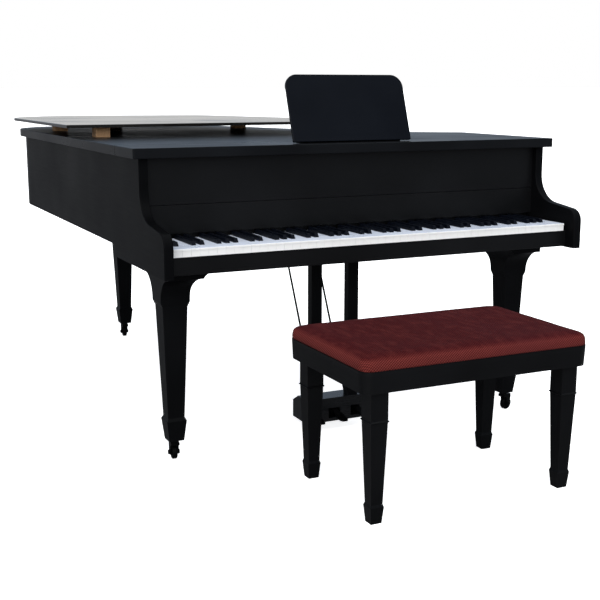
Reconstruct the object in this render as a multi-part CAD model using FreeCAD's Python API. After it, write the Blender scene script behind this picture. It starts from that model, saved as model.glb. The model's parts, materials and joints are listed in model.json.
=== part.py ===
import FreeCAD, Part
import math
import os

# Dolls' house grand piano with its bench, in millimetres at its real (1:12) size.
# Working frame: X = 0 at the middle of the keyboard, Y = 0 at the front of the white keys
# with +Y towards the tail, Z = 0 on the floor. The last lines move it to the part's frame.

# --- Driving dimensions: keyboard -------------------------------------------------------
WHITE_COUNT = 52
KEY_PITCH = 1.958
KEY_GAP = 0.035
KEYBOARD_HALF = WHITE_COUNT * KEY_PITCH / 2
KEY_BOTTOM_Z = 50.0
KEY_TOP_Z = 51.8
KEY_BACK_Y = 16.4
KEY_LIP = 0.12
KEY_LIP_T = 0.45
KEY_LIP_LAP = 1.0
KEY_EDGE_R = 0.09
BLACK_FRONT_Y = 3.9
BLACK_BACK_Y = 15.6
BLACK_H = 0.95
BLACK_W_FOOT = 1.0
BLACK_W_TOP = 0.78
BLACK_NOSE = 0.45
BLACK_EDGE_R = 0.12

# --- Driving dimensions: case ------------------------------------------------------------
WALL = 2.1
ARM_OUTER_X = 53.95
ARM_INNER_X = ARM_OUTER_X - WALL
ARM_FRONT_Y = -2.8
ARM_BOTTOM_Z = 45.8
CHEEK_FRONT_Y = 13.3
ARM_NOSE_Z = 55.15
ARM_NECK_Z = 57.0
ARM_NOSE_R = 3.0
ARM_NECK_R = 7.0
BED_BOTTOM_Z = 46.0
BED_TOP_Z = KEY_BOTTOM_Z
BED_FRONT_Y = 1.6
BED_BACK_Y = 34.6
SLIP_FRONT_Y = 0.55
SLIP_EDGE_R = 0.15
RAIL_Y = (16.6, 18.8)
RAIL_TOP_Z = 54.0
RAIL_CLEAR = 0.02
RIM_BOTTOM_Z = 48.65
FLOOR_BOARD_T = 1.8
FLOOR_BOARD_FIT = 0.02
TOP_UNDER_Z = 69.95
TOP_Z = 72.2
TOP_OVERHANG = 1.65
FLAP_SEAM_Y = 25.8
FLAP_GAP = 0.14
FLAP_BEVEL = 0.08
PANEL_FRONT_Y = 14.9
PANEL_T = 1.6
PANEL_SEAM_Z = 59.4
PANEL_SEAM = 0.08
PANEL_BOTTOM_Z = 53.0
PANEL_EDGE_R = 0.1
EDGE_R = 0.18

# Plan of the top board: corner points anticlockwise from the front left, and their radii.
TOP_FRONT_Y = 11.6
TOP_HALF = ARM_OUTER_X + TOP_OVERHANG
TAIL_R = 21.8
TOP_PLAN = [(-TOP_HALF, TOP_FRONT_Y), (TOP_HALF, TOP_FRONT_Y), (TOP_HALF, 53.0),
            (33.5, 66.2), (7.1, 143.0), (-TOP_HALF, 159.6)]
TOP_RADII = [0.35, 0.35, 3.3, 62.5, 8.3, TAIL_R]
CHEEK_CORNER = 2
TIP_CORNER = 4
TAIL_CORNER = 5

# --- Driving dimensions: lid panel on its spacer blocks ------------------------------------
LID_UNDER_Z = 74.75
LID_T = 0.8
LID_OVERHANG = 1.65
LID_FRONT_Y = 63.8
LID_EDGE_R = 0.12
BLOCK = (3.8, 4.0)
BLOCK_CHAMFER = 0.12
BLOCK_CORNERS = [(-48.9, 66.8), (-49.6, 110.8), (-25.2, 137.5), (6.6, 107.8), (24.7, 66.8)]

# --- Driving dimensions: music desk --------------------------------------------------------
DESK_HALF = 15.8
DESK_T = 0.7
DESK_LENGTH = 16.35
DESK_LEAN = 19.3
DESK_FOOT = (15.85, 72.57)
DESK_CORNER_R = 3.1
DESK_FOOT_CORNER_R = 0.3
DESK_EDGE_R = 0.12
DESK_WEB_DEPTH = 1.0
DESK_WEB_Z = (-0.22, 0.4)
HINGE_HALF = 13.5
HINGE_Y = 17.2
HINGE_Z = 72.78
HINGE_R = 0.45
PIN_R = 0.22
RUN_GAP = 0.04
KNUCKLES = 5
KNUCKLE_GAP = 0.06
LEAF_FRONT_Y = 17.75
LEAF_BACK_Y = 19.7
LEAF_T = 0.3
LEAF_LAP = 0.3

# --- Driving dimensions: legs and casters --------------------------------------------------
LEG_PLACES = {"front_left": (-46.5, 15.75), "front_right": (46.1, 15.75), "rear": (-21.35, 142.6)}
LEG_DEPTH = 0.95
LEG_TOP_HALF = 2.95
LEG_FOOT_HALF = 2.0
LEG_EDGE_R = 0.15
NECK_HALF = (3.45, 2.95)
NECK_Z = 37.9
NECK_BOTTOM_Z = 36.8
COVE_R = 5.67
COVE_Z = 38.1
INNER_COVE_Z = 40.2
REAR_BRACKET_INSET = 0.4
FOOT_TOP_Z = 10.6
FOOT_WIDE_Z = 9.9
FOOT_WIDE_HALF = 2.37
FOOT_BOTTOM_Z = 5.0
FOOT_BOTTOM_HALF = 1.8
WHEEL_R = 1.68
WHEEL_W = 1.2
WHEEL_EDGE_R = 0.3
WHEEL_GROOVE = (0.75, 1.15)
WHEEL_GROOVE_DEPTH = 0.12
WHEEL_BORE_R = 0.45
AXLE_R = 0.4
AXLE_HEAD_R = 0.55
AXLE_HEAD_T = 0.3
FORK_T = 0.32
FORK_SIDE_GAP = 0.1
FORK_EYE_HALF = 0.62
FORK_EYE_R = 0.55
CROWN_GAP = 0.25
CROWN_T = 0.75
CROWN_FRONT = 0.75
CROWN_BACK = 0.85
FORK_COLLAR_R = 1.0
FORK_COLLAR_T = 0.35
TRAIL = 1.0
STEM_R = 0.6
STEM_BORE_R = 0.64
STEM_H = 2.6
STEM_END_GAP = 0.3
CASTER_YAW = {"front_left": -6.0, "front_right": -77.0, "rear": -2.0}

# --- Driving dimensions: pedal lyre ----------------------------------------------------------
LYRE_X = -3.0
POST_INNER = 3.61
POST_OUTER = 6.48
POST_DEPTH = 2.33
LYRE_FRONT_Y = 19.2
BOX_HALF = 7.7
BOX_DEPTH = 8.3
BOX_BOTTOM_Z = 2.5
BOX_TOP_Z = 8.6
BOX_BACK_TOP_Z = 6.9
BOX_FLAT_DEPTH = 5.4
SLOT_W = 3.3
SLOT_Z = (3.35, 5.95)
BOX_WALL = 0.6
BOX_ROOF = 0.5
POST_EDGE_R = 0.15
PEDAL_PITCH = 6.25
PEDAL_W = 2.0
PEDAL_T = 0.5
PEDAL_WAIST_HALF = 0.65
PEDAL_ARM_HALF = 0.3
PEDAL_TOE_R = 0.95
PEDAL_TOE = 1.5
PEDAL_WIDE_LENGTH = 3.2
PEDAL_NECK_LENGTH = 5.0
PEDAL_BEND_OUT = 0.6
PEDAL_TIP_Y = 13.2
PEDAL_TIP_Z = 4.0
PEDAL_ROD_Y = 25.4
PEDAL_ROD_Z = 5.3
PEDAL_ROD_R = 0.4
PEDAL_ROD_INSET = 0.3
PEDAL_EYE_R = 0.8
BRACE_R = 0.26
BRACE_SPREAD = 4.32
BRACE_FOOT_Y = 22.0
BRACE_TOP_Y = 41.8

# --- Driving dimensions: bench ----------------------------------------------------------------
BENCH_X = 0.4
BENCH_Y = -21.75
APRON_HALF = (27.2, 17.1)
APRON_TAPER = 0.2
APRON_CORNER_R = 2.4
APRON_BOTTOM_Z = 27.3
SEAT_BOARD_Z = 31.1
CUSHION_Z = 31.7
CUSHION_TOP_Z = 34.3
CUSHION_PROUD = 0.2
CUSHION_TOP_R = 1.1
CUSHION_FOOT_R = 0.25
BENCH_LEG_AT = (23.0, 14.05)
BENCH_LEG_HALF = 1.93
BENCH_LEG_TAPER = 0.03
BEAD_Z = 21.2
BEAD_H = 0.5
BEAD_PROUD = 0.22
BENCH_LEG_END_HALF = 1.32
BENCH_FOOT_TOP_Z = 4.05
BENCH_FOOT_WIDE_Z = 3.5
BENCH_FOOT_WIDE_HALF = 1.53
BENCH_FOOT_END_HALF = 1.2

FAR = 300.0  # beyond the object on every side
NEAR = 0.005

V = FreeCAD.Vector
X_AXIS = V(1, 0, 0)
Y_AXIS = V(0, 1, 0)
Z_AXIS = V(0, 0, 1)


def unit(a, b):
    """Direction from a to b, and their distance, in a plane."""
    d = math.hypot(b[0] - a[0], b[1] - a[1])
    return (b[0] - a[0]) / d, (b[1] - a[1]) / d, d


def corner_arc(before, at, after, radius):
    """Start, middle and end of the arc that rounds the corner at a point."""
    ux, uy, _ = unit(at, before)
    vx, vy, _ = unit(at, after)
    half = math.acos(max(-1.0, min(1.0, ux * vx + uy * vy))) / 2
    run = radius / math.tan(half)
    bx, by, _ = unit((0, 0), (ux + vx, uy + vy))
    reach = radius / math.sin(half) - radius
    start = (at[0] + ux * run, at[1] + uy * run)
    middle = (at[0] + bx * reach, at[1] + by * reach)
    end = (at[0] + vx * run, at[1] + vy * run)
    return start, middle, end


def rounded_wire(points, radii, place):
    """Closed wire through the points with rounded corners; place maps plane to space."""
    arcs = []
    for i, at in enumerate(points):
        if radii[i] > 0:
            arcs.append(corner_arc(points[i - 1], at, points[(i + 1) % len(points)], radii[i]))
        else:
            arcs.append((at, None, at))
    edges = []
    for i, (start, middle, end) in enumerate(arcs):
        last = arcs[i - 1][2]
        edges.append(Part.LineSegment(place(*last), place(*start)).toShape())
        if middle:
            edges.append(Part.Arc(place(*start), place(*middle), place(*end)).toShape())
    return Part.Wire(edges)


def plan_prism(points, radii, z0, z1):
    wire = rounded_wire(points, radii, lambda x, y: V(x, y, z0))
    return Part.Face(wire).extrude(V(0, 0, z1 - z0))


def side_prism(points, radii, x0, x1):
    """Solid with a (Y, Z) outline between two X planes."""
    wire = rounded_wire(points, radii, lambda y, z: V(x0, y, z))
    return Part.Face(wire).extrude(V(x1 - x0, 0, 0))


def inset_plan(points, radii, depth):
    """The plan moved inwards by depth; outer corners tighten and inner corners open."""
    lines = []
    for i, a in enumerate(points):
        b = points[(i + 1) % len(points)]
        ux, uy, _ = unit(a, b)
        lines.append(((a[0] - uy * depth, a[1] + ux * depth), (ux, uy)))
    new_points = []
    new_radii = []
    for i, radius in enumerate(radii):
        (p, u), (q, w) = lines[i - 1], lines[i]
        cross = u[0] * w[1] - u[1] * w[0]
        t = ((q[0] - p[0]) * w[1] - (q[1] - p[1]) * w[0]) / cross
        new_points.append((p[0] + u[0] * t, p[1] + u[1] * t))
        new_radii.append(max(radius - depth, 0.0) if cross > 0 else radius + depth)
    return new_points, new_radii


def box(x0, x1, y0, y1, z0, z1):
    return Part.makeBox(x1 - x0, y1 - y0, z1 - z0, V(x0, y0, z0))


def region(x0=-FAR, x1=FAR, y0=-FAR, y1=FAR, z0=-FAR, z1=FAR):
    """Space between the planes given, without limit on the other sides."""
    return box(x0, x1, y0, y1, z0, z1)


def taper(x, y, low_z, low, high_z, high):
    """Four-sided solid between two level rectangles, given by their half widths in X and Y."""
    wires = []
    for z, (half_x, half_y) in ((low_z, low), (high_z, high)):
        corners = [V(x - half_x, y - half_y, z), V(x + half_x, y - half_y, z),
                   V(x + half_x, y + half_y, z), V(x - half_x, y + half_y, z)]
        wires.append(Part.makePolygon(corners + corners[:1]))
    return Part.makeLoft(wires, True, True)


def square_taper(x, y, low_z, low_half, high_z, high_half):
    return taper(x, y, low_z, (low_half, low_half), high_z, (high_half, high_half))


def x_rod(x0, x1, y, z, r):
    return Part.makeCylinder(r, x1 - x0, V(x0, y, z), X_AXIS)


def fuse(shapes):
    joined = shapes[0].multiFuse(shapes[1:])
    return joined.removeSplitter()


def tangent_run(points, radii, i):
    """How far before its corner point a rounded corner begins."""
    start, _, _ = corner_arc(points[i - 1], points[i], points[(i + 1) % len(points)], radii[i])
    return unit(start, points[i])[2]


def edges_where(shape, test):
    return [e for e in shape.Edges if test(e.BoundBox)]


def rounded_at(shape, r, test):
    """The shape with a radius on each edge whose bounding box passes the test."""
    return shape.makeFillet(r, edges_where(shape, test))


def at_height(z):
    """Edges that lie wholly in the level plane at z."""
    return lambda b: abs(b.ZMin - z) < NEAR and abs(b.ZMax - z) < NEAR


def front_lengthwise(y):
    """Edges along X in the upright plane at y."""
    return lambda b: abs(b.YMax - y) < NEAR and b.XLength > 1


def upright(b):
    return b.ZLength > 1


# --- Case -----------------------------------------------------------------------------------

LEFT_END_Y = TOP_PLAN[TAIL_CORNER][1] - tangent_run(TOP_PLAN, TOP_RADII, TAIL_CORNER)
CHEEK_END_Y = TOP_PLAN[CHEEK_CORNER][1] - tangent_run(TOP_PLAN, TOP_RADII, CHEEK_CORNER)
BENT_END_Y = TOP_PLAN[TIP_CORNER][1] - tangent_run(TOP_PLAN, TOP_RADII, TIP_CORNER)


def side_board(x0, end_y):
    """Straight side with the arm, its curved shoulder and the deeper front part."""
    outline = [(ARM_FRONT_Y, ARM_BOTTOM_Z), (BED_BACK_Y, ARM_BOTTOM_Z), (BED_BACK_Y, RIM_BOTTOM_Z),
               (end_y, RIM_BOTTOM_Z), (end_y, TOP_UNDER_Z), (CHEEK_FRONT_Y, TOP_UNDER_Z),
               (CHEEK_FRONT_Y, ARM_NECK_Z), (ARM_FRONT_Y, ARM_NOSE_Z)]
    radii = [0, 0, 0, 0, 0, 0, ARM_NECK_R, ARM_NOSE_R]
    board = side_prism(outline, radii, x0, x0 + WALL)
    return rounded_at(board, EDGE_R, lambda b: b.YMax < CHEEK_FRONT_Y + NEAR and b.XLength < NEAR
                      and b.ZLength > NEAR)


def rim_ring():
    outer = plan_prism(*inset_plan(TOP_PLAN, TOP_RADII, TOP_OVERHANG), RIM_BOTTOM_Z, TOP_UNDER_Z)
    inner = plan_prism(*inset_plan(TOP_PLAN, TOP_RADII, TOP_OVERHANG + WALL),
                       RIM_BOTTOM_Z, TOP_UNDER_Z)
    return outer.cut(inner)


def bent_side(ring):
    return ring.common(region(x0=0, y0=CHEEK_END_Y, y1=BENT_END_Y))


def tail_rim(ring):
    return ring.common(region(x1=0, y0=LEFT_END_Y).fuse(region(x0=0, y0=BENT_END_Y)))


def floor_board():
    plan = inset_plan(TOP_PLAN, TOP_RADII, TOP_OVERHANG + WALL + FLOOR_BOARD_FIT)
    inner = plan_prism(*plan, RIM_BOTTOM_Z, RIM_BOTTOM_Z + FLOOR_BOARD_T)
    return inner.common(region(y0=BED_BACK_Y))


def key_bed():
    return box(-ARM_INNER_X, ARM_INNER_X, BED_FRONT_Y, BED_BACK_Y, BED_BOTTOM_Z, BED_TOP_Z)


def key_slip():
    slip = box(-ARM_INNER_X, ARM_INNER_X, SLIP_FRONT_Y, BED_FRONT_Y, BED_BOTTOM_Z, BED_TOP_Z)
    return rounded_at(slip, SLIP_EDGE_R, front_lengthwise(SLIP_FRONT_Y))


def front_panel(z0, z1):
    panel = box(-ARM_INNER_X, ARM_INNER_X, PANEL_FRONT_Y, PANEL_FRONT_Y + PANEL_T, z0, z1)
    return rounded_at(panel, PANEL_EDGE_R, front_lengthwise(PANEL_FRONT_Y))


def key_rail():
    """Rest behind the keys that closes the case below the front panel."""
    rail = box(-ARM_INNER_X, ARM_INNER_X, *RAIL_Y, BED_TOP_Z, RAIL_TOP_Z)
    return rail.cut(region(y1=PANEL_FRONT_Y + PANEL_T + RAIL_CLEAR, z0=PANEL_BOTTOM_Z - RAIL_CLEAR))


def white_keys():
    keys = []
    for i in range(WHITE_COUNT):
        x0 = -KEYBOARD_HALF + i * KEY_PITCH + KEY_GAP / 2
        x1 = x0 + KEY_PITCH - KEY_GAP
        stick = box(x0, x1, KEY_LIP, KEY_BACK_Y, KEY_BOTTOM_Z, KEY_TOP_Z)
        cover = box(x0, x1, 0, KEY_LIP + KEY_LIP_LAP, KEY_TOP_Z - KEY_LIP_T, KEY_TOP_Z)
        key = fuse([stick, cover])
        keys.append(rounded_at(key, KEY_EDGE_R, lambda b: b.YMax < NEAR and b.ZMin > KEY_TOP_Z - NEAR))
    return Part.makeCompound(keys)


def black_key(x):
    """Sharp with sloping sides and a sloping nose, standing on the white keys."""
    high_z = KEY_TOP_Z + BLACK_H
    wires = []
    for z, half, front_y in ((KEY_TOP_Z, BLACK_W_FOOT / 2, BLACK_FRONT_Y),
                             (high_z, BLACK_W_TOP / 2, BLACK_FRONT_Y + BLACK_NOSE)):
        corners = [V(x - half, front_y, z), V(x + half, front_y, z),
                   V(x + half, BLACK_BACK_Y, z), V(x - half, BLACK_BACK_Y, z)]
        wires.append(Part.makePolygon(corners + corners[:1]))
    body = Part.makeLoft(wires, True, True)
    return rounded_at(body, BLACK_EDGE_R, lambda b: b.ZMin > high_z - NEAR
                      and b.YMin < BLACK_BACK_Y - NEAR)


def black_keys():
    """Sharps between the white keys, the keyboard starting on A."""
    keys = []
    names = "ABCDEFG"
    for i in range(WHITE_COUNT - 1):
        if names[i % 7] in "BE":
            continue
        keys.append(black_key(-KEYBOARD_HALF + (i + 1) * KEY_PITCH))
    return Part.makeCompound(keys)


def top_slab():
    """Whole top board, with the bevel of the flap seam cut across it."""
    slab = plan_prism(TOP_PLAN, TOP_RADII, TOP_UNDER_Z, TOP_Z)
    slab = rounded_at(slab, EDGE_R, lambda b: at_height(TOP_Z)(b) or at_height(TOP_UNDER_Z)(b))
    deep = FLAP_GAP / 2 + FLAP_BEVEL
    groove = [(FLAP_SEAM_Y - 2 * deep, TOP_Z + deep), (FLAP_SEAM_Y, TOP_Z - deep),
              (FLAP_SEAM_Y + 2 * deep, TOP_Z + deep)]
    return slab.cut(side_prism(groove, [0] * len(groove), -2 * TOP_HALF, 2 * TOP_HALF))


def front_flap(slab):
    return slab.common(region(y1=FLAP_SEAM_Y - FLAP_GAP / 2))


def main_top(slab):
    return slab.common(region(y0=FLAP_SEAM_Y + FLAP_GAP / 2))


def lid_panel():
    points, radii = inset_plan(TOP_PLAN, TOP_RADII, -LID_OVERHANG)
    radii[0] = radii[1] = 0
    slab = plan_prism(points, radii, LID_UNDER_Z, LID_UNDER_Z + LID_T)
    slab = slab.cut(region(y1=LID_FRONT_Y))
    return rounded_at(slab, LID_EDGE_R, at_height(LID_UNDER_Z + LID_T))


def spacer_blocks():
    blocks = []
    for x, y in BLOCK_CORNERS:
        block = box(x, x + BLOCK[0], y, y + BLOCK[1], TOP_Z, LID_UNDER_Z)
        blocks.append(block.makeChamfer(BLOCK_CHAMFER, edges_where(block, upright)))
    return Part.makeCompound(blocks)


# --- Music desk -------------------------------------------------------------------------------

def knuckle_spans():
    """Hinge knuckles from left to right, as (start, end), alternately fixed and moving."""
    pitch = 2 * HINGE_HALF / KNUCKLES
    spans = []
    for i in range(KNUCKLES):
        start = -HINGE_HALF + i * pitch
        end = start + pitch
        if i > 0:
            start += KNUCKLE_GAP
        if i < KNUCKLES - 1:
            end -= KNUCKLE_GAP
        spans.append((start, end))
    return spans


def knuckle(span):
    return x_rod(span[0], span[1], HINGE_Y, HINGE_Z, HINGE_R)


def hinge_bore(gap):
    return x_rod(-DESK_HALF, DESK_HALF, HINGE_Y, HINGE_Z, PIN_R + gap)


def desk_plate():
    """Leaning plate with webs to the moving knuckles behind its foot."""
    lean = math.radians(DESK_LEAN)
    along = (math.sin(lean), math.cos(lean))
    back = (math.cos(lean), -math.sin(lean))

    def place(x, s):
        return V(x, DESK_FOOT[0] + along[0] * s, DESK_FOOT[1] + along[1] * s)

    outline = [(-DESK_HALF, 0), (DESK_HALF, 0), (DESK_HALF, DESK_LENGTH), (-DESK_HALF, DESK_LENGTH)]
    radii = [DESK_FOOT_CORNER_R, DESK_FOOT_CORNER_R, DESK_CORNER_R, DESK_CORNER_R]
    face = Part.Face(rounded_wire(outline, radii, place))
    plate = face.extrude(V(0, back[0] * DESK_T, back[1] * DESK_T))
    plate = plate.makeFillet(DESK_EDGE_R, plate.Edges)
    pieces = [plate]
    for span in knuckle_spans()[1::2]:
        pieces.append(knuckle(span))
        web = box(*span, -DESK_WEB_DEPTH, 0, *DESK_WEB_Z)
        web.rotate(V(0, 0, 0), X_AXIS, -DESK_LEAN)
        web.translate(V(0, HINGE_Y, HINGE_Z))
        pieces.append(web)
    return fuse(pieces).cut(hinge_bore(RUN_GAP))


def desk_base():
    pieces = [box(-HINGE_HALF, HINGE_HALF, LEAF_FRONT_Y, LEAF_BACK_Y, TOP_Z, TOP_Z + LEAF_T)]
    for span in knuckle_spans()[::2]:
        pieces.append(knuckle(span))
        pieces.append(box(*span, HINGE_Y, LEAF_FRONT_Y + LEAF_LAP, TOP_Z, TOP_Z + LEAF_T + LEAF_LAP))
    return fuse(pieces).cut(hinge_bore(0))


def desk_pin():
    return x_rod(-HINGE_HALF, HINGE_HALF, HINGE_Y, HINGE_Z, PIN_R)


# --- Legs and casters ---------------------------------------------------------------------------

def beyond_face(x, y, turn, half, cove_z):
    """Space outside one side of a bracket: below its hollow curve, or all of it for a flat side.

    The side faces +X before the turn, at half from the leg's centre line.
    """
    reach = half if cove_z is None else half + COVE_R
    space = region(x0=x + reach)
    if cove_z is not None:
        hollow = Part.makeCylinder(COVE_R, 2 * FAR, V(x + reach, y - FAR, cove_z), Y_AXIS)
        space = space.fuse(hollow).fuse(region(x0=x + half, z1=cove_z))
    space.rotate(V(x, y, 0), Z_AXIS, turn)
    return space


def leg_bracket(name, x, y):
    """Block that spreads in hollow curves from a chamfered neck on the leg up to the case."""
    half_x, half_y = NECK_HALF
    right_z = left_z = INNER_COVE_Z
    if name == "front_left":
        left_z = None
    if name == "front_right":
        right_z = None
    top_z = RIM_BOTTOM_Z if name == "rear" else BED_BOTTOM_Z
    spread_x = half_x + COVE_R
    spread_y = half_y + COVE_R
    block = box(x - spread_x, x + spread_x, y - spread_y, y + spread_y, NECK_Z, top_z)
    sides = [(0, half_x, right_z), (90, half_y, COVE_Z), (180, half_x, left_z), (270, half_y, COVE_Z)]
    for turn, half, cove_z in sides:
        block = block.cut(beyond_face(x, y, turn, half, cove_z))
    if name == "rear":
        inside = inset_plan(TOP_PLAN, TOP_RADII, TOP_OVERHANG + REAR_BRACKET_INSET)
        block = block.common(plan_prism(*inside, NECK_Z, top_z))
    shaft_top = (LEG_TOP_HALF, LEG_TOP_HALF * LEG_DEPTH)
    neck = taper(x, y, NECK_BOTTOM_Z, shaft_top, NECK_Z, NECK_HALF)
    return fuse([block, neck])


def leg_taper(x, y, low_z, low_half, high_z, high_half):
    """Part of a leg, a little shallower than it is wide."""
    return taper(x, y, low_z, (low_half, low_half * LEG_DEPTH), high_z,
                 (high_half, high_half * LEG_DEPTH))


def leg_shaft(x, y):
    shaft = leg_taper(x, y, FOOT_TOP_Z, LEG_FOOT_HALF, NECK_BOTTOM_Z, LEG_TOP_HALF)
    return rounded_at(shaft, LEG_EDGE_R, upright)


def leg_foot(x, y):
    flare = leg_taper(x, y, FOOT_WIDE_Z, FOOT_WIDE_HALF, FOOT_TOP_Z, LEG_FOOT_HALF)
    spade = leg_taper(x, y, FOOT_BOTTOM_Z, FOOT_BOTTOM_HALF, FOOT_WIDE_Z, FOOT_WIDE_HALF)
    bore = Part.makeCylinder(STEM_BORE_R, STEM_H + STEM_END_GAP, V(x, y, FOOT_BOTTOM_Z))
    return fuse([flare, spade]).cut(bore)


def turned(shape, name, x, y):
    """A caster piece swivelled to its rest direction and set under its leg."""
    shape = shape.copy()
    shape.rotate(V(0, 0, 0), Z_AXIS, CASTER_YAW[name])
    shape.translate(V(x, y, 0))
    return shape


def caster_fork():
    """Stem, crown and two cheeks; the wheel trails behind the stem."""
    inner = WHEEL_W / 2 + FORK_SIDE_GAP
    crown_z = 2 * WHEEL_R + CROWN_GAP
    stem = Part.makeCylinder(STEM_R, STEM_H + FOOT_BOTTOM_Z - crown_z, V(0, 0, crown_z))
    crown = box(-inner - FORK_T, inner + FORK_T, -CROWN_FRONT, TRAIL + CROWN_BACK,
                crown_z, crown_z + CROWN_T)
    collar = Part.makeCylinder(FORK_COLLAR_R, FORK_COLLAR_T, V(0, 0, crown_z + CROWN_T))
    pieces = [stem, crown, collar]
    cheek = [(TRAIL - CROWN_BACK, crown_z), (TRAIL - FORK_EYE_HALF, WHEEL_R - FORK_EYE_HALF),
             (TRAIL + FORK_EYE_HALF, WHEEL_R - FORK_EYE_HALF), (TRAIL + CROWN_BACK, crown_z)]
    for x0 in (-inner - FORK_T, inner):
        pieces.append(side_prism(cheek, [0, FORK_EYE_R, FORK_EYE_R, 0], x0, x0 + FORK_T))
    bore = x_rod(-WHEEL_W, WHEEL_W, TRAIL, WHEEL_R, AXLE_R)
    return fuse(pieces).cut(bore)


def caster_wheel():
    """Wheel with rounded treads and a ring groove in each side."""
    half = WHEEL_W / 2
    wheel = x_rod(-half, half, TRAIL, WHEEL_R, WHEEL_R)
    wheel = rounded_at(wheel, WHEEL_EDGE_R, lambda b: b.XLength < NEAR)
    for x0 in (-half, half - WHEEL_GROOVE_DEPTH):
        x1 = x0 + WHEEL_GROOVE_DEPTH
        ring = x_rod(x0, x1, TRAIL, WHEEL_R, WHEEL_GROOVE[1]).cut(
            x_rod(x0, x1, TRAIL, WHEEL_R, WHEEL_GROOVE[0]))
        wheel = wheel.cut(ring)
    return wheel.cut(x_rod(-WHEEL_W, WHEEL_W, TRAIL, WHEEL_R, WHEEL_BORE_R))


def caster_axle():
    out = WHEEL_W / 2 + FORK_SIDE_GAP + FORK_T
    pieces = [x_rod(-out, out, TRAIL, WHEEL_R, AXLE_R)]
    for x0 in (-out - AXLE_HEAD_T, out):
        pieces.append(x_rod(x0, x0 + AXLE_HEAD_T, TRAIL, WHEEL_R, AXLE_HEAD_R))
    return fuse(pieces)


# --- Pedal lyre -----------------------------------------------------------------------------------

def lyre_post(side):
    near, far = sorted((LYRE_X + side * POST_INNER, LYRE_X + side * POST_OUTER))
    post = box(near, far, LYRE_FRONT_Y, LYRE_FRONT_Y + POST_DEPTH, BOX_TOP_Z, BED_BOTTOM_Z)
    return rounded_at(post, POST_EDGE_R, upright)


def pedal_xs():
    return [LYRE_X - PEDAL_PITCH, LYRE_X, LYRE_X + PEDAL_PITCH]


def pedal_box():
    """Hollow box with a closed floor, a sloping rear top edge and three slots in its front."""
    back = LYRE_FRONT_Y + BOX_DEPTH
    left = LYRE_X - BOX_HALF
    right = LYRE_X + BOX_HALF
    outline = [(LYRE_FRONT_Y, BOX_BOTTOM_Z), (back, BOX_BOTTOM_Z), (back, BOX_BACK_TOP_Z),
               (LYRE_FRONT_Y + BOX_FLAT_DEPTH, BOX_TOP_Z), (LYRE_FRONT_Y, BOX_TOP_Z)]
    shell = side_prism(outline, [0] * len(outline), left, right)
    hollow = region(left + BOX_WALL, right - BOX_WALL, LYRE_FRONT_Y + BOX_WALL, back - BOX_WALL,
                    BOX_BOTTOM_Z + BOX_WALL, BOX_BACK_TOP_Z - BOX_ROOF)
    shell = shell.cut(hollow)
    for x in pedal_xs():
        x0 = max(x - SLOT_W / 2, left + BOX_WALL)
        x1 = min(x + SLOT_W / 2, right - BOX_WALL)
        shell = shell.cut(region(x0, x1, y1=LYRE_FRONT_Y + 2 * BOX_WALL, z0=SLOT_Z[0], z1=SLOT_Z[1]))
    return shell.cut(pedal_rod())


def pedal_rod():
    half = BOX_HALF - PEDAL_ROD_INSET
    return x_rod(LYRE_X - half, LYRE_X + half, PEDAL_ROD_Y, PEDAL_ROD_Z, PEDAL_ROD_R)


def pedal(x):
    """Lever from its pivot eye through the slot, widening to a rounded toe."""
    bend_y = LYRE_FRONT_Y - PEDAL_BEND_OUT
    side = [(PEDAL_ROD_Y, PEDAL_ROD_Z - PEDAL_ARM_HALF), (PEDAL_ROD_Y, PEDAL_ROD_Z + PEDAL_ARM_HALF),
            (bend_y, PEDAL_ROD_Z + PEDAL_T / 2), (PEDAL_TIP_Y + PEDAL_TOE, PEDAL_TIP_Z + PEDAL_T),
            (PEDAL_TIP_Y, PEDAL_TIP_Z + PEDAL_T * 0.8), (PEDAL_TIP_Y, PEDAL_TIP_Z),
            (PEDAL_TIP_Y + PEDAL_TOE, PEDAL_TIP_Z), (bend_y, PEDAL_ROD_Z - PEDAL_T / 2)]
    half = PEDAL_W / 2
    lever = side_prism(side, [0, 0, 1.5, 1.5, 0.1, 0.15, 1.8, 1.5], x - half, x + half)
    waist = PEDAL_WAIST_HALF
    wide_y = PEDAL_TIP_Y + PEDAL_WIDE_LENGTH
    neck_y = PEDAL_TIP_Y + PEDAL_NECK_LENGTH
    plan = [(x - half, PEDAL_TIP_Y), (x + half, PEDAL_TIP_Y), (x + half, wide_y), (x + waist, neck_y),
            (x + waist, PEDAL_ROD_Y), (x - waist, PEDAL_ROD_Y), (x - waist, neck_y), (x - half, wide_y)]
    radii = [PEDAL_TOE_R, PEDAL_TOE_R, 1.0, 1.5, 0, 0, 1.5, 1.0]
    lever = lever.common(plan_prism(plan, radii, 0, BOX_TOP_Z))
    eye = x_rod(x - waist, x + waist, PEDAL_ROD_Y, PEDAL_ROD_Z, PEDAL_EYE_R)
    bore = x_rod(x - PEDAL_W, x + PEDAL_W, PEDAL_ROD_Y, PEDAL_ROD_Z, PEDAL_ROD_R + RUN_GAP)
    return fuse([lever, eye]).cut(bore)


def lyre_braces():
    """Two straight rods from the pedal box up and back to the underside of the case."""
    rods = []
    rise = V(0, BRACE_TOP_Y - BRACE_FOOT_Y, RIM_BOTTOM_Z - BOX_TOP_Z)
    over = V(rise).normalize()
    for side in (-1, 1):
        foot = V(LYRE_X + side * BRACE_SPREAD, BRACE_FOOT_Y, BOX_TOP_Z)
        rod = Part.makeCylinder(BRACE_R, rise.Length + 2, foot - over, rise)
        rods.append(rod.common(region(z0=BOX_TOP_Z, z1=RIM_BOTTOM_Z)))
    return Part.makeCompound(rods)


# --- Bench -------------------------------------------------------------------------------------------

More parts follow.
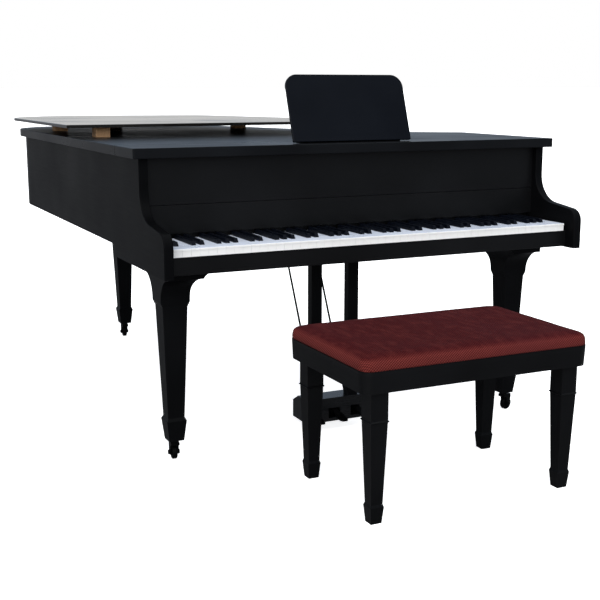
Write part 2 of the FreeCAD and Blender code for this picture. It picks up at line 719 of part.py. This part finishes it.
def round_rect(half_x, half_y, r, z):
    corners = [(-half_x, -half_y), (half_x, -half_y), (half_x, half_y), (-half_x, half_y)]
    return rounded_wire(corners, [r] * 4, lambda x, y: V(BENCH_X + x, BENCH_Y + y, z))


def apron():
    """Frame round the legs, a little narrower at its foot."""
    low = round_rect(APRON_HALF[0] - APRON_TAPER, APRON_HALF[1] - APRON_TAPER,
                     APRON_CORNER_R - APRON_TAPER, APRON_BOTTOM_Z)
    high = round_rect(*APRON_HALF, APRON_CORNER_R, SEAT_BOARD_Z)
    outer = Part.makeLoft([low, high], True, True)
    inner_x = BENCH_LEG_AT[0] + BENCH_LEG_HALF
    inner_y = BENCH_LEG_AT[1] + BENCH_LEG_HALF
    return outer.cut(region(BENCH_X - inner_x, BENCH_X + inner_x, BENCH_Y - inner_y, BENCH_Y + inner_y))


def bench_rails(frame):
    """The apron cut into front, back, left and right rails."""
    edge_y = BENCH_LEG_AT[1] + BENCH_LEG_HALF
    middle = frame.common(region(y0=BENCH_Y - edge_y, y1=BENCH_Y + edge_y))
    return {
        "bench_rail_front": frame.common(region(y1=BENCH_Y - edge_y)),
        "bench_rail_back": frame.common(region(y0=BENCH_Y + edge_y)),
        "bench_rail_left": middle.common(region(x1=BENCH_X)),
        "bench_rail_right": middle.common(region(x0=BENCH_X)),
    }


def seat_board():
    outline = Part.Face(round_rect(*APRON_HALF, APRON_CORNER_R, SEAT_BOARD_Z))
    return outline.extrude(V(0, 0, CUSHION_Z - SEAT_BOARD_Z))


def cushion():
    outline = round_rect(APRON_HALF[0] + CUSHION_PROUD, APRON_HALF[1] + CUSHION_PROUD,
                         APRON_CORNER_R + CUSHION_PROUD, CUSHION_Z)
    pad = Part.Face(outline).extrude(V(0, 0, CUSHION_TOP_Z - CUSHION_Z))
    pad = rounded_at(pad, CUSHION_TOP_R, at_height(CUSHION_TOP_Z))
    return rounded_at(pad, CUSHION_FOOT_R, at_height(CUSHION_Z))


def bench_leg(x, y):
    """Square leg with a thin bead, a tapering lower part and a small spade foot."""
    bead_top = BEAD_Z + BEAD_H / 2
    bead_bottom = BEAD_Z - BEAD_H / 2
    bead_half = BENCH_LEG_HALF + BEAD_PROUD
    below_half = BENCH_LEG_HALF - BENCH_LEG_TAPER
    sections = [(0, BENCH_FOOT_END_HALF), (BENCH_FOOT_WIDE_Z, BENCH_FOOT_WIDE_HALF),
                (BENCH_FOOT_TOP_Z, BENCH_LEG_END_HALF), (bead_bottom, below_half), (BEAD_Z, bead_half),
                (bead_top, BENCH_LEG_HALF), (SEAT_BOARD_Z, BENCH_LEG_HALF)]
    pieces = []
    for (low_z, low_half), (high_z, high_half) in zip(sections, sections[1:]):
        pieces.append(square_taper(x, y, low_z, low_half, high_z, high_half))
    return fuse(pieces)


# --- Everything, by node name ----------------------------------------------------------------------

def piano_nodes():
    ring = rim_ring()
    slab = top_slab()
    nodes = {
        "left_side": side_board(-ARM_OUTER_X, LEFT_END_Y),
        "right_cheek": side_board(ARM_INNER_X, CHEEK_END_Y),
        "bent_side": bent_side(ring),
        "tail_rim": tail_rim(ring),
        "bottom_board": floor_board(),
        "key_bed": key_bed(),
        "key_slip": key_slip(),
        "key_rail": key_rail(),
        "fallboard": front_panel(PANEL_BOTTOM_Z, PANEL_SEAM_Z - PANEL_SEAM / 2),
        "front_panel": front_panel(PANEL_SEAM_Z + PANEL_SEAM / 2, TOP_UNDER_Z),
        "white_keys": white_keys(),
        "black_keys": black_keys(),
        "top_board_front": front_flap(slab),
        "top_board_rear": main_top(slab),
        "spacer_blocks": spacer_blocks(),
        "lid_panel": lid_panel(),
        "desk_plate": desk_plate(),
        "desk_base": desk_base(),
        "desk_hinge_pin": desk_pin(),
    }
    for name, (x, y) in LEG_PLACES.items():
        nodes["leg_bracket_" + name] = leg_bracket(name, x, y)
        nodes["leg_" + name] = leg_shaft(x, y)
        nodes["leg_foot_" + name] = leg_foot(x, y)
        nodes["caster_fork_" + name] = turned(caster_fork(), name, x, y)
        nodes["caster_wheel_" + name] = turned(caster_wheel(), name, x, y)
        nodes["caster_axle_" + name] = turned(caster_axle(), name, x, y)
    return nodes


def lyre_nodes():
    nodes = {
        "lyre_post_left": lyre_post(-1),
        "lyre_post_right": lyre_post(1),
        "pedal_box": pedal_box(),
        "pedal_rod": pedal_rod(),
        "lyre_braces": lyre_braces(),
    }
    for name, x in zip(("left", "middle", "right"), pedal_xs()):
        nodes["pedal_" + name] = pedal(x)
    return nodes


def bench_nodes():
    nodes = bench_rails(apron())
    nodes["bench_seat_board"] = seat_board()
    nodes["bench_cushion"] = cushion()
    for side_x, name_x in ((-1, "left"), (1, "right")):
        for side_y, name_y in ((-1, "front"), (1, "back")):
            x = BENCH_X + side_x * BENCH_LEG_AT[0]
            y = BENCH_Y + side_y * BENCH_LEG_AT[1]
            nodes["bench_leg_" + name_y + "_" + name_x] = bench_leg(x, y)
    return nodes


def main():
    os.makedirs("parts", exist_ok=True)
    nodes = {}
    nodes.update(piano_nodes())
    nodes.update(lyre_nodes())
    nodes.update(bench_nodes())
    low_y = BENCH_Y - APRON_HALF[1] - CUSHION_PROUD
    high_y = LEFT_END_Y + TAIL_R + LID_OVERHANG
    to_centre = V(LID_OVERHANG / 2, -(low_y + high_y) / 2, 0)
    for name, shape in nodes.items():
        shape = shape.copy()
        shape.translate(to_centre)
        if not shape.isValid():
            print("not valid:", name)
        shape.exportStep("parts/" + name + ".step")
    print(len(nodes), "nodes; moved by", to_centre)


main()
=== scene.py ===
import json
import math

import bmesh
import bpy
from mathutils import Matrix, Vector


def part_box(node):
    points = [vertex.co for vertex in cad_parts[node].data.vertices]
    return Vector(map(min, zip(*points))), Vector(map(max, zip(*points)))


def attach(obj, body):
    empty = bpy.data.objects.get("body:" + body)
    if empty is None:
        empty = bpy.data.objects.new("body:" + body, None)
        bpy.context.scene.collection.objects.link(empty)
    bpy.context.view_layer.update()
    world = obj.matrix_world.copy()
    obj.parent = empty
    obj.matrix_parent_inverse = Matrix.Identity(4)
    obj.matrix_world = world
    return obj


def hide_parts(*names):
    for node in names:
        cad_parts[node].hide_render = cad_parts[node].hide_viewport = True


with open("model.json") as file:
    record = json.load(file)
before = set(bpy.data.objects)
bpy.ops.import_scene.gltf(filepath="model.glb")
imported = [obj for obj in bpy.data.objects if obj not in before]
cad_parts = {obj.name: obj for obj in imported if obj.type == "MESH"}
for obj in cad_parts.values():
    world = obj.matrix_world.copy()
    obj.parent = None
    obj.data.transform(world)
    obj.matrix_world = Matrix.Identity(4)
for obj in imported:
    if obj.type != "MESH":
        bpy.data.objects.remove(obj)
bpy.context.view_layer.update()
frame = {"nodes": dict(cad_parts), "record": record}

NODES = frame["nodes"]
MM = 0.001
BUILD_SCALE = 12.0  # the piece is a 1:12 miniature; its cloth is simulated at full size

# Seat pad, at build scale: its cut shape, its remesh and its cloth simulation.
PAD_CORNER = 2.8 * MM  # before scaling
PAD_STRAIGHT = 0.60  # share of the height where the sides stay upright
PAD_EASE = 0.34  # how far the top edge is eased in, as a share of the height
PAD_VOXEL = 0.0050
PAD_HELD_BELOW = 0.004
PAD_PRESSURE = 3.0
PAD_STEPS = 20
PAD_CAP = 0.006  # the furthest that a point may move
PAD_EASING_ROUNDS = 14

WEAVE_PITCH = 0.62 * MM
WEAVE_CROSS = 0.55  # height of the crossing rows beside the main ones

FLOOR_HALF = 40.0
FLOOR_GLOW = 0.8
CAMERA_LENS = 64.06
CAMERA_PLACE = (-0.120858, -0.268131, 0.085058)
CAMERA_DIP = 11.283  # degrees below level
CAMERA_TURN = -25.414  # degrees from +Y


# --- Shader graph helpers ---------------------------------------------------------------------

class Graph:
    """A material's node tree with a Principled shader at its end."""

    def __init__(self, name):
        self.material = bpy.data.materials.new(name)
        self.material.use_nodes = True
        self.tree = self.material.node_tree
        self.tree.nodes.clear()
        output = self.tree.nodes.new("ShaderNodeOutputMaterial")
        self.shader = self.tree.nodes.new("ShaderNodeBsdfPrincipled")
        self.tree.links.new(self.shader.outputs[0], output.inputs["Surface"])
        self.place = self.node("TexCoord").outputs["Object"]

    def node(self, kind, **settings):
        made = self.tree.nodes.new("ShaderNode" + kind)
        for name, value in settings.items():
            setattr(made, name, value)
        return made

    def feed(self, socket, value):
        """Links an output to a socket, or sets the socket to a constant."""
        if isinstance(value, bpy.types.NodeSocket):
            self.tree.links.new(value, socket)
        else:
            socket.default_value = value

    def call(self, kind, inputs, output=0, **settings):
        made = self.node(kind, **settings)
        for name, value in inputs.items():
            self.feed(made.inputs[name], value)
        return made.outputs[output]

    def set(self, **inputs):
        """Principled inputs, with underscores for spaces."""
        for name, value in inputs.items():
            self.feed(self.shader.inputs[name.replace("_", " ")], value)

    def stretched(self, x, y, z):
        """Object coordinates in features per metre along each axis."""
        return self.call("Mapping", {"Vector": self.place, "Scale": (x, y, z)})

    def noise(self, vector, scale=1.0, detail=3.0, roughness=0.5, distortion=0.0):
        return self.call("TexNoise", {"Vector": vector, "Scale": scale, "Detail": detail,
                                      "Roughness": roughness, "Distortion": distortion}, "Fac")

    def ramp(self, value, low, high, out_low=0.0, out_high=1.0):
        return self.call("MapRange", {"Value": value, "From Min": low, "From Max": high,
                                      "To Min": out_low, "To Max": out_high})

    def mix(self, factor, a, b):
        made = self.node("Mix", data_type="RGBA")
        self.feed(made.inputs[0], factor)
        self.feed(made.inputs[6], a if isinstance(a, bpy.types.NodeSocket) else (*a, 1.0))
        self.feed(made.inputs[7], b if isinstance(b, bpy.types.NodeSocket) else (*b, 1.0))
        return made.outputs[2]

    def math(self, operation, a, b=0.0):
        made = self.node("Math", operation=operation)
        self.feed(made.inputs[0], a)
        self.feed(made.inputs[1], b)
        return made.outputs[0]

    def bump(self, height, depth, strength, normal=None):
        inputs = {"Height": height, "Distance": depth, "Strength": strength}
        if normal is not None:
            inputs["Normal"] = normal
        return self.call("Bump", inputs)

    def edges(self, radius):
        """0 on flats, rising to 1 along sharp edges."""
        soft = self.call("Bevel", {"Radius": radius}, samples=4)
        flat = self.node("NewGeometry").outputs["True Normal"]
        dot = self.node("VectorMath", operation="DOT_PRODUCT")
        self.feed(dot.inputs[0], soft)
        self.feed(dot.inputs[1], flat)
        return self.ramp(dot.outputs["Value"], 1.0, 0.8)


# --- Materials -----------------------------------------------------------------------------------

def lacquer(name, dark, light, rough, grain_axis, specular, wear=0.35, painted_underside_light=None):
    """Black lacquer sprayed on wood: faint grain, orange peel, uneven sheen and rubbed edges.

    The underside tone is a much lighter grey painted on downward faces: painted light standing in for
    light under the lid.
    """
    g = Graph(name)
    along = [2600.0, 2600.0, 2600.0]
    along["XYZ".index(grain_axis)] = 90.0
    grain = g.noise(g.stretched(*along), detail=4.0, roughness=0.6)
    cloud = g.noise(g.stretched(45.0, 45.0, 45.0), detail=2.0)
    peel = g.noise(g.stretched(1500.0, 1500.0, 1500.0), detail=2.0)
    rubbed = g.math("MULTIPLY", g.edges(0.12 * MM), g.noise(g.stretched(600, 600, 600)))
    tone = g.mix(g.ramp(cloud, 0.3, 0.7), dark, light)
    # Downward faces are painted the lighter underside grey: painted light.
    if painted_underside_light is not None:
        facing = g.node("NewGeometry").outputs["Normal"]
        height = g.call("SeparateXYZ", {"Vector": facing}, "Z")
        tone = g.mix(g.ramp(height, -0.5, -0.9), tone, painted_underside_light)
    worn = tuple(min(1.0, c * 2.2 + 0.006) for c in light)
    g.set(Base_Color=g.mix(g.math("MULTIPLY", rubbed, wear), tone, worn))
    sheen = g.ramp(g.math("ADD", cloud, g.math("MULTIPLY", grain, 0.35)), 0.4, 0.95,
                   rough - 0.05, rough + 0.07)
    g.set(Roughness=g.math("ADD", sheen, g.math("MULTIPLY", rubbed, 0.2)))
    g.set(Specular_IOR_Level=specular)
    g.set(Normal=g.bump(peel, 0.006 * MM, 0.5, g.bump(grain, 0.012 * MM, 0.35)))
    return g.material


def bare_wood(name):
    """Sawn softwood end blocks with rings and pores."""
    g = Graph(name)
    warp = g.noise(g.stretched(220, 60, 220), detail=2.0)
    bent = g.node("VectorMath", operation="MULTIPLY_ADD")
    g.feed(bent.inputs[0], g.place)
    g.feed(bent.inputs[1], (2300.0, 190.0, 2300.0))
    spread = g.call("CombineXYZ", {"X": warp, "Y": warp, "Z": warp})
    g.feed(bent.inputs[2], spread)
    rings = g.call("TexWave", {"Vector": bent.outputs[0], "Scale": 0.35, "Distortion": 3.0,
                               "Detail": 2.0}, "Fac", wave_type="BANDS", bands_direction="X")
    fibre = g.noise(g.stretched(5200, 260, 5200), detail=5.0, roughness=0.65)
    pores = g.ramp(g.noise(g.stretched(9000, 700, 9000), detail=1.0), 0.62, 0.72)
    tone = g.mix(g.ramp(rings, 0.1, 0.9), (0.335, 0.185, 0.090), (0.50, 0.31, 0.165))
    tone = g.mix(g.ramp(fibre, 0.35, 0.75, 0.0, 0.45), tone, (0.24, 0.125, 0.060))
    tone = g.mix(g.math("MULTIPLY", pores, 0.5), tone, (0.12, 0.06, 0.03))
    g.set(Base_Color=tone, Roughness=g.ramp(fibre, 0.3, 0.7, 0.62, 0.8))
    g.set(Specular_IOR_Level=0.3, Normal=g.bump(fibre, 0.03 * MM, 0.6))
    return g.material


def ivory(name):
    """White key tops: clean plastic with faint cloud, fingertip dulling and fine scratches; upward faces
    are painted darker and bluer than the fronts and sides, painted shade and painted blue skylight.
    """
    g = Graph(name)
    cloud = g.noise(g.stretched(60, 60, 60), detail=2.0)
    facing = g.node("NewGeometry").outputs["Normal"]
    top_painted_shade = g.ramp(g.call("SeparateXYZ", {"Vector": facing}, "Z"), 0.4, 0.9)
    scratch = g.ramp(g.noise(g.stretched(7000, 260, 500), detail=2.0), 0.60, 0.72)
    # Fronts and sides take a lighter warm ivory, upward faces a darker bluer one: painted light and
    # shade, with a painted blue skylight on the tops.
    edge = g.mix(g.ramp(cloud, 0.3, 0.7), (0.86, 0.855, 0.835), (0.89, 0.885, 0.865))
    face = g.mix(g.ramp(cloud, 0.3, 0.7), (0.68, 0.74, 0.87), (0.73, 0.78, 0.89))
    g.set(Base_Color=g.mix(top_painted_shade, edge, face))
    dull = g.ramp(cloud, 0.3, 0.7, 0.22, 0.34)
    g.set(Roughness=g.math("ADD", dull, g.math("MULTIPLY", scratch, 0.15)))
    g.set(Specular_IOR_Level=0.5, Subsurface_Weight=0.08, Subsurface_Scale=0.3 * MM)
    g.set(Subsurface_Radius=(1.0, 0.9, 0.8), Normal=g.bump(scratch, 0.004 * MM, 0.4))
    return g.material


def ebony(name):
    """Black keys: dense satin with fine streaks along the key."""
    g = Graph(name)
    streak = g.noise(g.stretched(6500, 260, 6500), detail=3.0)
    dark, light = (0.0010, 0.0016, 0.0036), (0.0024, 0.0036, 0.0072)
    g.set(Base_Color=g.mix(g.ramp(streak, 0.35, 0.7), dark, light))
    g.set(Roughness=g.ramp(streak, 0.3, 0.7, 0.30, 0.42), Specular_IOR_Level=0.11)
    g.set(Normal=g.bump(streak, 0.006 * MM, 0.4))
    return g.material


def black_metal(name, tone=(0.0012, 0.0012, 0.0014), rough=0.38, worn=0.06):
    """Painted metal with a hammered skin and bare metal just showing on rubbed edges."""
    g = Graph(name)
    skin = g.noise(g.stretched(3200, 3200, 3200), detail=3.0)
    patch = g.noise(g.stretched(420, 420, 420), detail=3.0, roughness=0.6)
    rub = g.math("MULTIPLY", g.edges(0.08 * MM), g.ramp(patch, 0.42, 0.62))
    rub = g.math("MULTIPLY", rub, worn)
    g.set(Base_Color=g.mix(rub, tone, (0.05, 0.05, 0.055)), Metallic=g.math("MULTIPLY", rub, 0.8))
    g.set(Roughness=g.ramp(patch, 0.3, 0.7, rough - 0.06, rough + 0.10))
    g.set(Specular_IOR_Level=0.06, Normal=g.bump(skin, 0.008 * MM, 0.5))
    return g.material


def wheel_plastic(name):
    """Moulded wheel with tread scuffs and dust in its grooves."""
    g = Graph(name)
    scuff = g.noise(g.stretched(2400, 2400, 2400), detail=4.0, roughness=0.65)
    dust = g.ramp(g.noise(g.stretched(500, 500, 500), detail=2.0), 0.5, 0.75, 0.0, 0.3)
    g.set(Base_Color=g.mix(dust, (0.0012, 0.0012, 0.0014), (0.004, 0.004, 0.004)))
    g.set(Roughness=g.ramp(scuff, 0.3, 0.7, 0.42, 0.62), Specular_IOR_Level=0.05)
    g.set(Normal=g.bump(scuff, 0.012 * MM, 0.6))
    return g.material


def woven_cloth(name):
    """Dark red cloth in a small twill weave, with raised yarns, slubs and a soft sheen; its weave
    hollows are painted darker than the raised yarns and its upward faces darker than its sides: painted
    shade.
    """
    g = Graph(name)
    parts = g.call("SeparateXYZ", {"Vector": g.place}, "X").node
    turn = 2 * math.pi / WEAVE_PITCH
    side = g.math("ADD", parts.outputs["X"], parts.outputs["Y"])
    a = g.math("MULTIPLY", g.math("ADD", side, parts.outputs["Z"]), turn)
    other = g.math("SUBTRACT", parts.outputs["X"], parts.outputs["Y"])
    b = g.math("MULTIPLY", g.math("SUBTRACT", other, parts.outputs["Z"]), turn)
    lattice = g.math("ADD", g.math("SINE", b), g.math("MULTIPLY", g.math("SINE", a), WEAVE_CROSS))
    weave_height_and_shade = g.ramp(lattice, -0.7, 1.0)
    yarn = g.noise(g.stretched(9000, 9000, 9000), detail=3.0, roughness=0.7)
    slub = g.noise(g.stretched(700, 260, 700), detail=3.0)
    fade = g.noise(g.stretched(38, 38, 38), detail=2.0)
    facing = g.node("NewGeometry").outputs["Normal"]
    top_painted_shade = g.ramp(g.call("SeparateXYZ", {"Vector": facing}, "Z"), 0.55, 0.97)
    # Upward faces are painted darker than the sides: painted shade on the top, painted light on the
    # sides.
    weave_hollow_shade = g.mix(top_painted_shade, (0.056, 0.0086, 0.0084), (0.029, 0.0031, 0.0037))
    high = g.mix(top_painted_shade, (0.185, 0.0360, 0.0300), (0.063, 0.0072, 0.0084))
    # Weave hollows are painted darker than the raised yarns: painted shade in the hollows.
    tone = g.mix(weave_height_and_shade, weave_hollow_shade, high)
    tone = g.mix(g.ramp(slub, 0.45, 0.75, 0.0, 0.35), tone, (0.13, 0.026, 0.022))
    tone = g.mix(g.ramp(fade, 0.4, 0.7, 0.0, 0.25), tone, (0.05, 0.012, 0.016))
    g.set(Base_Color=tone, Roughness=g.ramp(yarn, 0.2, 0.8, 0.78, 0.95))
    g.set(Specular_IOR_Level=0.02, Sheen_Weight=0.03, Sheen_Roughness=0.45)
    g.set(Sheen_Tint=(0.75, 0.42, 0.46, 1.0))
    height = g.math("ADD", weave_height_and_shade, g.math("MULTIPLY", yarn, 0.5))
    g.set(Normal=g.bump(height, 0.07 * MM, 0.8))
    return g.material


CASE_DARK, CASE_LIGHT = (0.0018, 0.0019, 0.0022), (0.0036, 0.0038, 0.0044)

# One black lacquer in copies: the grain axis differs, and so does the specular level, set per copy to
# make these parts lighter or darker: painted light and shade.
MATERIALS = {
    "case_x": lacquer("case_lacquer_across", CASE_DARK, CASE_LIGHT, 0.40, "X", specular=0.16),
    "case_y": lacquer("case_lacquer_along", CASE_DARK, CASE_LIGHT, 0.40, "Y", specular=0.028),
    "case_z": lacquer("case_lacquer_upright", CASE_DARK, CASE_LIGHT, 0.40, "Z", specular=0.05),
    # The pedal box copy is glossier to lighten its shaded top: painted light.
    "box": lacquer("box_lacquer", CASE_DARK, CASE_LIGHT, 0.24, "X", specular=0.6),
    "top": lacquer("top_lacquer", (0.0040, 0.0044, 0.0052), (0.0070, 0.0078, 0.0092), 0.30, "X",
                   specular=0.06, wear=0.12),
    # The lid's downward faces are painted a light grey: painted light under the lid.
    "lid": lacquer("lid_lacquer", (0.0060, 0.0058, 0.0055), (0.0100, 0.0096, 0.0090), 0.06, "X",
                   specular=0.22, wear=0.08, painted_underside_light=(0.16, 0.155, 0.15)),
    # The desk's navy tint is a painted blue skylight on its dark lacquer.
    "desk": lacquer("desk_lacquer", (0.0012, 0.0020, 0.0042), (0.0026, 0.0038, 0.0068), 0.36, "X",
                    specular=0.11),
    "bench_x": lacquer("bench_lacquer_across", CASE_DARK, CASE_LIGHT, 0.42, "X", specular=0.11),
    "bench_y": lacquer("bench_lacquer_along", CASE_DARK, CASE_LIGHT, 0.42, "Y", specular=0.09),
    "bench_z": lacquer("bench_lacquer_upright", CASE_DARK, CASE_LIGHT, 0.42, "Z", specular=0.09),
    "raw_wood": bare_wood("raw_wood"),
    "white_key": ivory("white_key"),
    "black_key": ebony("black_key"),
    "caster_metal": black_metal("caster_metal"),
    "caster_wheel": wheel_plastic("caster_wheel"),
    "pedal_metal": black_metal("pedal_metal", rough=0.30, worn=0.3),
    "wire": black_metal("wire", tone=(0.0016, 0.0016, 0.0018), rough=0.45, worn=0.0),
    "hinge_metal": black_metal("hinge_metal", tone=(0.003, 0.003, 0.0035), rough=0.34),
    "seat_fabric": woven_cloth("seat_fabric"),
}

SLOT_OF = {p["node"]: p["material_slot"] for p in frame["record"]["subparts"]}
GRAIN = {"left_side": "y", "right_cheek": "y", "bent_side": "y", "tail_rim": "x", "bottom_board": "y",
         "bench_rail_left": "y", "bench_rail_right": "y"}


def finish_for(node):
    """The material that a CAD node wears: its slot's, with the grain along the board; each grain copy
    also has its own specular level, painted light and shade.
    """
    slot = SLOT_OF[node]
    if node == "pedal_box":
        return MATERIALS["box"]
    if slot not in ("case_lacquer", "bench_lacquer"):
        return MATERIALS[slot.replace("_lacquer", "")]
    upright = "leg" in node or "post" in node
    grain = GRAIN.get(node, "z" if upright else "x")
    return MATERIALS[slot.replace("lacquer", grain)]


def dress_nodes():
    for name, node in NODES.items():
        finish = finish_for(name)
        for place in node.material_slots:
            place.link = "OBJECT"
            place.material = finish


# --- Bench cushion -------------------------------------------------------------------------------

def rounded_outline(half_x, half_y, radius, steps):
    """Points round a rectangle with round corners, anticlockwise."""
    points = []
    for i, (sx, sy) in enumerate(((1, 1), (-1, 1), (-1, -1), (1, -1))):
        for k in range(steps + 1):
            turn = math.radians(90 * i + 90 * k / steps)
            points.append((sx * (half_x - radius) + radius * math.cos(turn),
                           sy * (half_y - radius) + radius * math.sin(turn)))
    return points


def pad_blank(low, high, scale):
    """The cut foam block: a rounded rectangle whose upper edge is eased over."""
    half_x = (high.x - low.x) / 2 * scale
    half_y = (high.y - low.y) / 2 * scale
    thick = (high.z - low.z) * scale
    corner = PAD_CORNER * scale
    ease = PAD_EASE * thick
    top = 0.97 - PAD_STRAIGHT
    levels = [(0.0, 0.03), (0.10, 0.0), (PAD_STRAIGHT, 0.0)]
    for k in range(1, 7):
        turn = math.radians(15 * k)
        levels.append((PAD_STRAIGHT + top * math.sin(turn), 1 - math.cos(turn)))
    mesh = bmesh.new()
    rings = []
    for z, inset in levels:
        pull = inset * ease
        outline = rounded_outline(half_x - pull, half_y - pull, corner - pull * 0.7, 6)
        rings.append([mesh.verts.new((x, y, z * thick)) for x, y in outline])
    for lower, upper in zip(rings, rings[1:]):
        for i in range(len(lower)):
            j = (i + 1) % len(lower)
            mesh.faces.new((lower[i], lower[j], upper[j], upper[i]))
    mesh.faces.new(rings[0][::-1])
    mesh.faces.new(rings[-1])
    data = bpy.data.meshes.new("bench_cushion_pad")
    mesh.to_mesh(data)
    mesh.free()
    piece = bpy.data.objects.new("bench_cushion_pad", data)
    bpy.context.scene.collection.objects.link(piece)
    return piece


def apply_modifiers(piece):
    """Bakes the piece's modifiers at the current frame into its mesh."""
    graph = bpy.context.evaluated_depsgraph_get()
    baked = bpy.data.meshes.new_from_object(piece.evaluated_get(graph))
    piece.modifiers.clear()
    piece.data = baked


def eased(shifts, edges, rounds):
    """Each point's shift averaged with its neighbours' a number of times over."""
    near = [[] for _ in shifts]
    for edge in edges:
        a, b = edge.vertices
        near[a].append(b)
        near[b].append(a)
    for _ in range(rounds):
        shifts = [sum((shifts[i] for i in near[n]), shift) / (len(near[n]) + 1)
                  for n, shift in enumerate(shifts)]
    return shifts


def inflate(piece):
    """Swells the pad by cloth simulation; its underside stays on the board, and its moves are capped."""
    start = [v.co.copy() for v in piece.data.vertices]
    held = piece.vertex_groups.new(name="held")
    held.add([v.index for v in piece.data.vertices if v.co.z < PAD_HELD_BELOW], 1.0, "REPLACE")
    cloth = piece.modifiers.new("cloth", "CLOTH")
    cloth.settings.vertex_group_mass = "held"
    cloth.settings.use_pressure = True
    cloth.settings.uniform_pressure_force = PAD_PRESSURE
    cloth.settings.effector_weights.gravity = 0
    cloth.settings.tension_stiffness = 25
    cloth.settings.bending_stiffness = 4
    cloth.point_cache.frame_end = PAD_STEPS
    for number in range(1, PAD_STEPS + 1):
        bpy.context.scene.frame_set(number)
    apply_modifiers(piece)
    bpy.context.scene.frame_set(1)
    shifts = []
    for vertex, rest in zip(piece.data.vertices, start):
        shift = vertex.co - rest
        shifts.append(shift * min(1.0, PAD_CAP / max(shift.length, 1e-9)))
    shifts = eased(shifts, piece.data.edges, PAD_EASING_ROUNDS)
    for vertex, rest, shift in zip(piece.data.vertices, start, shifts):
        vertex.co = rest + shift
        vertex.co.z = max(vertex.co.z, rest.z if rest.z < PAD_HELD_BELOW else 0.0)


def bench_cushion():
    low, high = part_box("bench_cushion")
    piece = pad_blank(low, high, BUILD_SCALE)
    remesh = piece.modifiers.new("remesh", "REMESH")
    remesh.mode = "VOXEL"
    remesh.voxel_size = PAD_VOXEL
    apply_modifiers(piece)
    inflate(piece)
    smooth = piece.modifiers.new("smooth", "SMOOTH")
    smooth.factor = 0.5
    smooth.iterations = 4
    finer = piece.modifiers.new("finer", "SUBSURF")
    finer.levels = finer.render_levels = 1
    apply_modifiers(piece)
    middle = Vector(((low.x + high.x) / 2, (low.y + high.y) / 2, low.z))
    for vertex in piece.data.vertices:
        vertex.co = middle + vertex.co / BUILD_SCALE
    for face in piece.data.polygons:
        face.use_smooth = True
    piece.data.materials.clear()
    piece.data.materials.append(MATERIALS["seat_fabric"])
    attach(piece, "bench")
    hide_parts("bench_cushion")


# --- Stage, light and camera ----------------------------------------------------------------------

def floor():
    """Pale paper that glows to the camera, so that it stays white, and is darker for bounced light."""
    half = FLOOR_HALF
    data = bpy.data.meshes.new("floor")
    data.from_pydata([(-half, -half, 0), (half, -half, 0), (half, half, 0), (-half, half, 0)],
                     [], [(0, 1, 2, 3)])
    piece = bpy.data.objects.new("floor", data)
    bpy.context.scene.collection.objects.link(piece)
    g = Graph("floor_paper")
    fibre = g.noise(g.stretched(300, 300, 300), detail=3.0)
    paper = g.mix(g.ramp(fibre, 0.3, 0.7), (0.94, 0.94, 0.94), (0.96, 0.96, 0.96))
    seen = g.node("LightPath").outputs["Is Camera Ray"]
    g.set(Base_Color=g.mix(seen, (0.27, 0.27, 0.28), paper), Roughness=0.9, Specular_IOR_Level=0.0)
    g.set(Emission_Color=(1.0, 1.0, 1.0, 1.0), Emission_Strength=g.math("MULTIPLY", seen, FLOOR_GLOW))
    data.materials.append(g.material)


def studio_world():
    """White to the camera; a bright horizon that falls away overhead for light and reflections."""
    world = bpy.data.worlds.new("studio")
    bpy.context.scene.world = world
    world.use_nodes = True
    tree = world.node_tree
    tree.nodes.clear()
    place = tree.nodes.new("ShaderNodeTexCoord")
    split = tree.nodes.new("ShaderNodeSeparateXYZ")
    ramp = tree.nodes.new("ShaderNodeValToRGB")
    tree.links.new(place.outputs["Generated"], split.inputs[0])
    tree.links.new(split.outputs["Z"], ramp.inputs[0])
    stops = [(0.0, (0.71, 0.695, 0.675)), (0.045, (0.62, 0.63, 0.635)), (0.13, (0.37, 0.48, 0.63)),
             (0.40, (0.27, 0.31, 0.37)), (1.0, (0.38, 0.40, 0.43))]
    while len(ramp.color_ramp.elements) < len(stops):
        ramp.color_ramp.elements.new(0.5)
    for element, (at, colour) in zip(ramp.color_ramp.elements, stops):
        element.position = at
        element.color = (*colour, 1.0)
    light = tree.nodes.new("ShaderNodeBackground")
    seen = tree.nodes.new("ShaderNodeBackground")
    seen.inputs["Color"].default_value = (1.0, 1.0, 1.0, 1.0)
    tree.links.new(ramp.outputs["Color"], light.inputs["Color"])
    path = tree.nodes.new("ShaderNodeLightPath")
    mix = tree.nodes.new("ShaderNodeMixShader")
    output = tree.nodes.new("ShaderNodeOutputWorld")
    tree.links.new(path.outputs["Is Camera Ray"], mix.inputs[0])
    tree.links.new(light.outputs[0], mix.inputs[1])
    tree.links.new(seen.outputs[0], mix.inputs[2])
    tree.links.new(mix.outputs[0], output.inputs["Surface"])


def soft_sun(name, azimuth, elevation, strength, spread, colour):
    """A distant soft light; azimuth 0 shines from -Y, positive from +X."""
    data = bpy.data.lights.new(name, "SUN")
    data.energy = strength
    data.angle = math.radians(spread)
    data.color = colour
    lamp = bpy.data.objects.new(name, data)
    bpy.context.scene.collection.objects.link(lamp)
    lamp.rotation_euler = (math.radians(90 - elevation), 0, math.radians(azimuth))


def camera():
    data = bpy.data.cameras.new("camera")
    data.lens = CAMERA_LENS
    data.sensor_width = 36.0
    data.clip_start = 0.01
    data.clip_end = 200.0
    eye = bpy.data.objects.new("camera", data)
    bpy.context.scene.collection.objects.link(eye)
    eye.location = CAMERA_PLACE
    eye.rotation_euler = (math.radians(90 - CAMERA_DIP), 0, math.radians(CAMERA_TURN))
    bpy.context.scene.camera = eye


bpy.context.scene.view_settings.view_transform = "Standard"
dress_nodes()
bench_cushion()
floor()
studio_world()
soft_sun("key", -35, 32, 2.7, 70, (1.0, 0.985, 0.96))
soft_sun("overhead", 20, 80, 1.3, 80, (0.95, 0.98, 1.0))
camera()
